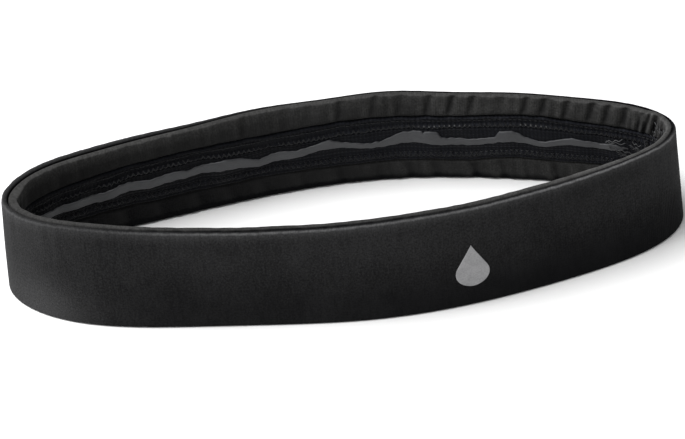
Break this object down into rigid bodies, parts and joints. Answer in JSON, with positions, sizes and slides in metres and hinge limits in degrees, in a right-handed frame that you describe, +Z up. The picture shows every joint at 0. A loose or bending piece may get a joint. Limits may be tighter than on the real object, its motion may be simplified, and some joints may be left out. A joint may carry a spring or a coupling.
{
  "type": "sports headband",
  "caption": "Soft elastic sports headband: a knit loop with rolled edges, an inner elastic with a wavy silicone grip strip, and a small emblem, standing on its lower edge.",
  "frame": {"origin": "centre of the footprint on the plane that the lower edge rests on", "axes": "+Z up towards the upper edge, +X along the loop's long axis towards the end near the back seam, -Y towards the side with the emblem"},
  "size_m": [0.245, 0.075, 0.042],
  "materials": {
    "outer_knit": "matt fine black knit",
    "facing_knit": "matt warm charcoal knit",
    "elastic": "ribbed black woven elastic",
    "silicone": "translucent grey silicone, semi-gloss",
    "thread": "dark polyester sewing thread",
    "emblem_film": "silver-grey heat-transfer film"
  },
  "bodies": {
    "root": {"outer_panel": "outer_knit", "upper_facing": "facing_knit", "lower_facing": "facing_knit", "gripper_elastic": "elastic", "silicone_gripper": "silicone", "upper_edge_seam": "thread", "lower_edge_seam": "thread", "upper_coverstitch": "thread", "lower_coverstitch": "thread", "back_seam_stitch": "thread", "front_emblem": "emblem_film"}
  },
  "joints": []
}
